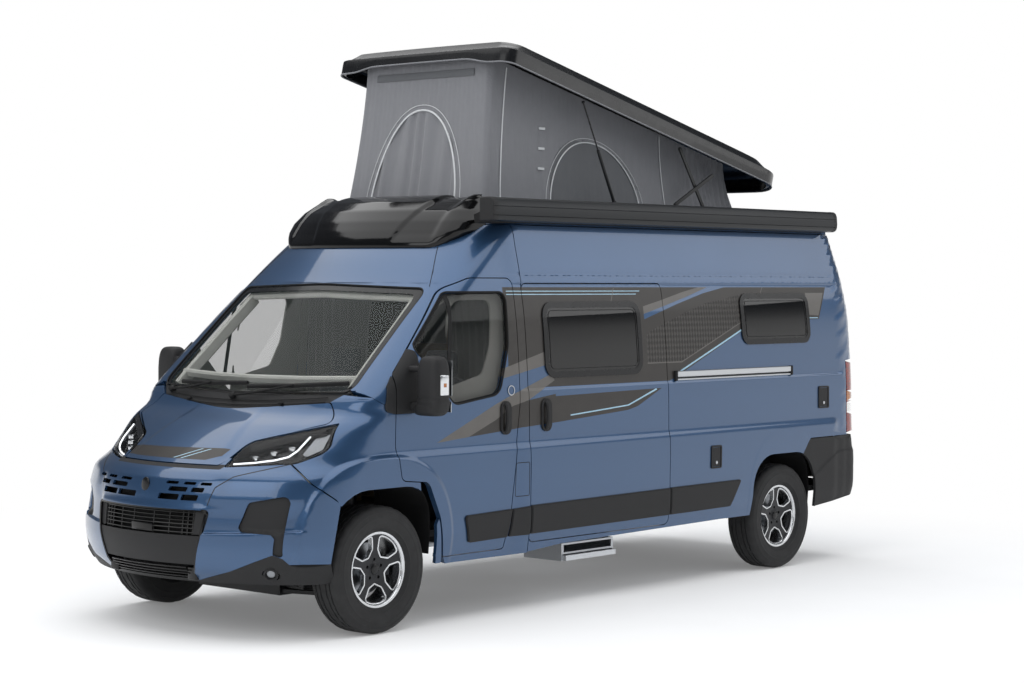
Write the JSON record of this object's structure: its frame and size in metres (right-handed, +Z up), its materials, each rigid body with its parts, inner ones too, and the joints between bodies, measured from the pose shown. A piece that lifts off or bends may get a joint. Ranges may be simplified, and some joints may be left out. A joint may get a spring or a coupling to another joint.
{
  "type": "camper van",
  "caption": "Blue high-sided camper van with a raised pop-top sleeping roof, side awning, entry step, grey decals and dark alloy wheels.",
  "frame": {"origin": "on the ground, midway between the nose and the tail on the van's centre plane", "axes": "+X forward, +Y to the van's left, +Z up"},
  "size_m": [6.0119, 2.508, 3.5542],
  "materials": {
    "body_paint": "satin metallic",
    "glass": "gloss",
    "lamp_lens": "gloss",
    "grey_plastic": "grained",
    "awning_paint": "satin",
    "step_alloy": "brushed",
    "black_steel": "satin",
    "engine_iron": "cast",
    "tent_fabric": "woven",
    "seat_fabric": "woven",
    "furniture_board": "laminate",
    "tyre_rubber": "matte",
    "wheel_alloy": "machined",
    "gloss_black": "gloss"
  },
  "bodies": {
    "root": {"roof_panel": "body_paint", "wind_deflector": "gloss_black", "rear_bumper": "grey_plastic", "sliding_door": "body_paint", "body_side_left": "body_paint", "body_side_right": "body_paint", "side_windows": "glass", "windscreen": "glass", "headlamps": "lamp_lens", "cowl": "grey_plastic", "grille": "grey_plastic", "front_bumper": "grey_plastic", "front_valance": "grey_plastic", "front_wings": "body_paint", "cab_frame": "body_paint", "tail_lamps": "lamp_lens", "side_trim": "grey_plastic", "awning_cassette": "awning_paint", "step_housing": "grey_plastic", "tent_canvas": "tent_fabric", "floor_pan": "black_steel", "wheel_arch_liners": "grey_plastic", "chassis_frame": "black_steel", "engine_block": "engine_iron", "underbody": "black_steel", "front_suspension": "black_steel", "rear_axle": "black_steel", "dashboard": "grey_plastic", "cab_seats": "seat_fabric", "furniture": "furniture_board"},
    "cab_door_left": {"cab_door_left": "body_paint", "cab_door_glass_left": "glass", "mirror_left": "grey_plastic"},
    "cab_door_right": {"cab_door_right": "body_paint", "cab_door_glass_right": "glass", "mirror_right": "grey_plastic"},
    "rear_door_left": {"rear_door_left": "body_paint", "rear_door_glass_left": "glass"},
    "rear_door_right": {"rear_door_right": "body_paint", "rear_door_glass_right": "glass"},
    "bonnet": {"bonnet": "body_paint"},
    "pop_roof": {"pop_roof_shell": "gloss_black"},
    "strut_cylinders": {"strut_cylinders": "black_steel"},
    "strut_rods": {"strut_rods": "step_alloy"},
    "scissor_arms_a": {"scissor_arms_a": "step_alloy"},
    "scissor_arms_b": {"scissor_arms_b": "step_alloy"},
    "knuckle_left": {"knuckle_left": "black_steel"},
    "knuckle_right": {"knuckle_right": "black_steel"},
    "steering_wheel": {"steering_wheel": "grey_plastic"},
    "step_tread": {"step_tread": "step_alloy"},
    "wheel_front_left": {"tyre_front_left": "tyre_rubber", "rim_front_left": "wheel_alloy"},
    "wheel_front_right": {"tyre_front_right": "tyre_rubber", "rim_front_right": "wheel_alloy"},
    "wheel_rear_left": {"tyre_rear_left": "tyre_rubber", "rim_rear_left": "wheel_alloy"},
    "wheel_rear_right": {"tyre_rear_right": "tyre_rubber", "rim_rear_right": "wheel_alloy"}
  },
  "joints": [
    {"name": "cab_door_left", "type": "hinge", "parent": "root", "child": "cab_door_left", "pos_m": [1.965, 1.035, 0.9], "axis": [0, 0, -1], "range_deg": [0, 75]},
    {"name": "cab_door_right", "type": "hinge", "parent": "root", "child": "cab_door_right", "pos_m": [1.965, -1.035, 0.9], "axis": [0, 0, 1], "range_deg": [0, 75]},
    {"name": "rear_door_left", "type": "hinge", "parent": "root", "child": "rear_door_left", "pos_m": [-3.005, 0.83, 1.4], "axis": [0, 0, -1], "range_deg": [0, 180]},
    {"name": "rear_door_right", "type": "hinge", "parent": "root", "child": "rear_door_right", "pos_m": [-3.005, -0.83, 1.4], "axis": [0, 0, 1], "range_deg": [0, 180]},
    {"name": "bonnet", "type": "hinge", "parent": "root", "child": "bonnet", "pos_m": [2.12, 0, 1.375], "axis": [0, -1, 0], "range_deg": [0, 55]},
    {"name": "pop_roof", "type": "hinge", "parent": "root", "child": "pop_roof", "pos_m": [-2.92, 0, 2.56], "axis": [0, 1, 0], "range_deg": [0, 13.2], "deforming": ["tent_canvas"]},
    {"name": "strut_cylinders", "type": "hinge", "parent": "root", "child": "strut_cylinders", "pos_m": [-0.43, 0, 2.555], "axis": [0, 1, 0], "range_deg": [0, 65.2]},
    {"name": "strut_rods", "type": "slide", "parent": "strut_cylinders", "child": "strut_rods", "axis": [0.453, 0, 0.8915], "range_m": [-0.3241, 0]},
    {"name": "scissor_arms_a", "type": "hinge", "parent": "root", "child": "scissor_arms_a", "pos_m": [-1.431, 0, 2.555], "axis": [0, 1, 0], "range_deg": [0, 55]},
    {"name": "scissor_arms_b", "type": "hinge", "parent": "root", "child": "scissor_arms_b", "pos_m": [-1.09, 0, 2.56], "axis": [0, -1, 0], "range_deg": [0, 26.8]},
    {"name": "steer_left", "type": "hinge", "parent": "root", "child": "knuckle_left", "pos_m": [2.051, 0.8, 0.37], "axis": [0, 0, 1], "range_deg": [-32, 32]},
    {"name": "steer_right", "type": "hinge", "parent": "root", "child": "knuckle_right", "pos_m": [2.051, -0.8, 0.37], "axis": [0, 0, 1], "range_deg": [-32, 32]},
    {"name": "steering_wheel", "type": "hinge", "parent": "root", "child": "steering_wheel", "pos_m": [1.43, -0.42, 1.2], "axis": [0.7071, 0, -0.7071], "range_deg": [-450, 450]},
    {"name": "wheel_front_left", "type": "hinge", "parent": "knuckle_left", "child": "wheel_front_left", "pos_m": [2.051, 0.905, 0.37], "axis": [0, 1, 0], "continuous": true},
    {"name": "wheel_front_right", "type": "hinge", "parent": "knuckle_right", "child": "wheel_front_right", "pos_m": [2.051, -0.905, 0.37], "axis": [0, 1, 0], "continuous": true},
    {"name": "wheel_rear_left", "type": "hinge", "parent": "root", "child": "wheel_rear_left", "pos_m": [-1.984, 0.895, 0.37], "axis": [0, 1, 0], "continuous": true},
    {"name": "wheel_rear_right", "type": "hinge", "parent": "root", "child": "wheel_rear_right", "pos_m": [-1.984, -0.895, 0.37], "axis": [0, 1, 0], "continuous": true},
    {"name": "step_tread", "type": "slide", "parent": "root", "child": "step_tread", "axis": [0, 1, 0], "range_m": [0, 0.25]}
  ],
  "couplings": [
    {"joint": "strut_cylinders", "follows": "pop_roof", "ratio": 4.939},
    {"joint": "strut_rods", "follows": "pop_roof", "m_per_rad": -1.4064},
    {"joint": "scissor_arms_a", "follows": "pop_roof", "ratio": 4.1667},
    {"joint": "scissor_arms_b", "follows": "pop_roof", "ratio": 2.0303},
    {"joint": "steer_right", "follows": "steer_left", "ratio": 1},
    {"joint": "steering_wheel", "follows": "steer_left", "ratio": -14}
  ]
}
